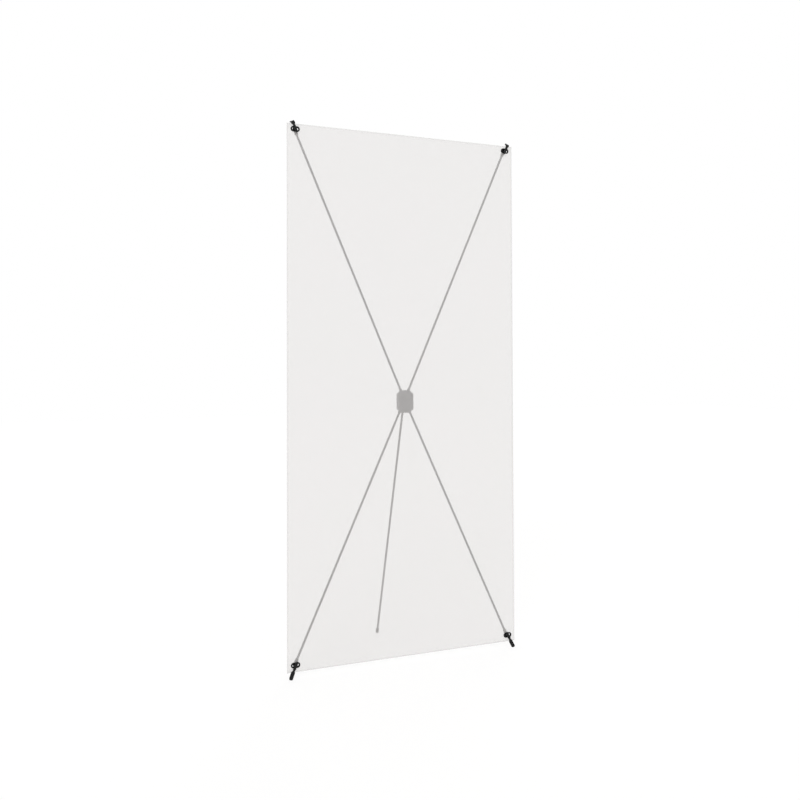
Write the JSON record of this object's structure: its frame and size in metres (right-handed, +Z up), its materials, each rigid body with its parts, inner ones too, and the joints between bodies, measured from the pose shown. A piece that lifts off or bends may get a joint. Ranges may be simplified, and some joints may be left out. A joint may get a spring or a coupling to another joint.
{
  "type": "banner stand",
  "caption": "Free-standing sprung X-frame that stretches a clear banner film by its corner eyelets and props it with a folding rear leg.",
  "frame": {"origin": "on the floor, under the middle of the whole stand's box", "axes": "+Z up; +Y from the film towards the rear leg, so the film's front faces -Y; +X to the right as seen from the front"},
  "size_m": [0.8, 0.3162, 1.7496],
  "materials": {
    "film": "translucent frosted film",
    "eyelet": "glossy moulded black",
    "hook": "glossy moulded black",
    "rod": "satin pultruded fibreglass",
    "hub": "fine moulded texture",
    "rubber": "soft matt rubber",
    "steel": "drawn and ground steel"
  },
  "bodies": {
    "hub": {"hub_front_cover": "hub", "hub_rear_cover": "hub", "hub_screw_top_left": "steel", "hub_screw_top_right": "steel", "hub_screw_bottom_left": "steel", "hub_screw_bottom_right": "steel", "pivot_pin_top_left": "steel", "pivot_pin_top_right": "steel", "pivot_pin_bottom_left": "steel", "pivot_pin_bottom_right": "steel", "pivot_pin_leg": "steel", "torsion_spring_top_left": "steel", "torsion_spring_top_right": "steel", "torsion_spring_bottom_left": "steel", "torsion_spring_bottom_right": "steel", "torsion_spring_leg": "steel"},
    "banner": {"banner_film": "film", "eyelet_top_left": "eyelet", "eyelet_top_right": "eyelet", "eyelet_bottom_left": "eyelet", "eyelet_bottom_right": "eyelet", "eyelet_washer_top_left": "eyelet", "eyelet_washer_top_right": "eyelet", "eyelet_washer_bottom_left": "eyelet", "eyelet_washer_bottom_right": "eyelet"},
    "arm_top_left": {"arm_knuckle_top_left": "hub", "arm_rod_top_left": "rod", "corner_hook_top_left": "hook"},
    "arm_top_right": {"arm_knuckle_top_right": "hub", "arm_rod_top_right": "rod", "corner_hook_top_right": "hook"},
    "arm_bottom_left": {"arm_knuckle_bottom_left": "hub", "arm_rod_bottom_left": "rod", "corner_hook_bottom_left": "hook"},
    "arm_bottom_right": {"arm_knuckle_bottom_right": "hub", "arm_rod_bottom_right": "rod", "corner_hook_bottom_right": "hook"},
    "rear_leg": {"leg_knuckle": "hub", "leg_rod": "rod", "leg_foot": "rubber"}
  },
  "joints": [
    {"name": "top_left_arm_fold", "type": "hinge", "parent": "hub", "child": "arm_top_left", "pos_m": [-0.00952, -0.13119, 0.88062], "axis": [-0.9179, 0, -0.3967], "range_deg": [0, 90], "stiffness_Nm_per_rad": 0.3, "springref_deg": -57.3},
    {"name": "top_right_arm_fold", "type": "hinge", "parent": "hub", "child": "arm_top_right", "pos_m": [0.00952, -0.13119, 0.88062], "axis": [-0.9179, 0, 0.3967], "range_deg": [0, 90], "stiffness_Nm_per_rad": 0.3, "springref_deg": -57.3},
    {"name": "bottom_left_arm_fold", "type": "hinge", "parent": "hub", "child": "arm_bottom_left", "pos_m": [-0.01286, -0.13119, 0.83038], "axis": [0.91, 0, -0.4147], "range_deg": [0, 90], "stiffness_Nm_per_rad": 0.3, "springref_deg": -57.3},
    {"name": "bottom_right_arm_fold", "type": "hinge", "parent": "hub", "child": "arm_bottom_right", "pos_m": [0.01286, -0.13119, 0.83038], "axis": [0.91, 0, 0.4147], "range_deg": [0, 90], "stiffness_Nm_per_rad": 0.3, "springref_deg": -57.3},
    {"name": "rear_leg_fold", "type": "hinge", "parent": "hub", "child": "rear_leg", "pos_m": [0, -0.12519, 0.85858], "axis": [1, 0, 0], "range_deg": [0, 72], "stiffness_Nm_per_rad": 0.48, "springref_deg": -60.16},
    {"name": "banner_unhook", "type": "slide", "parent": "hub", "child": "banner", "axis": [0, -1, 0], "range_m": [0, 0.3]}
  ]
}
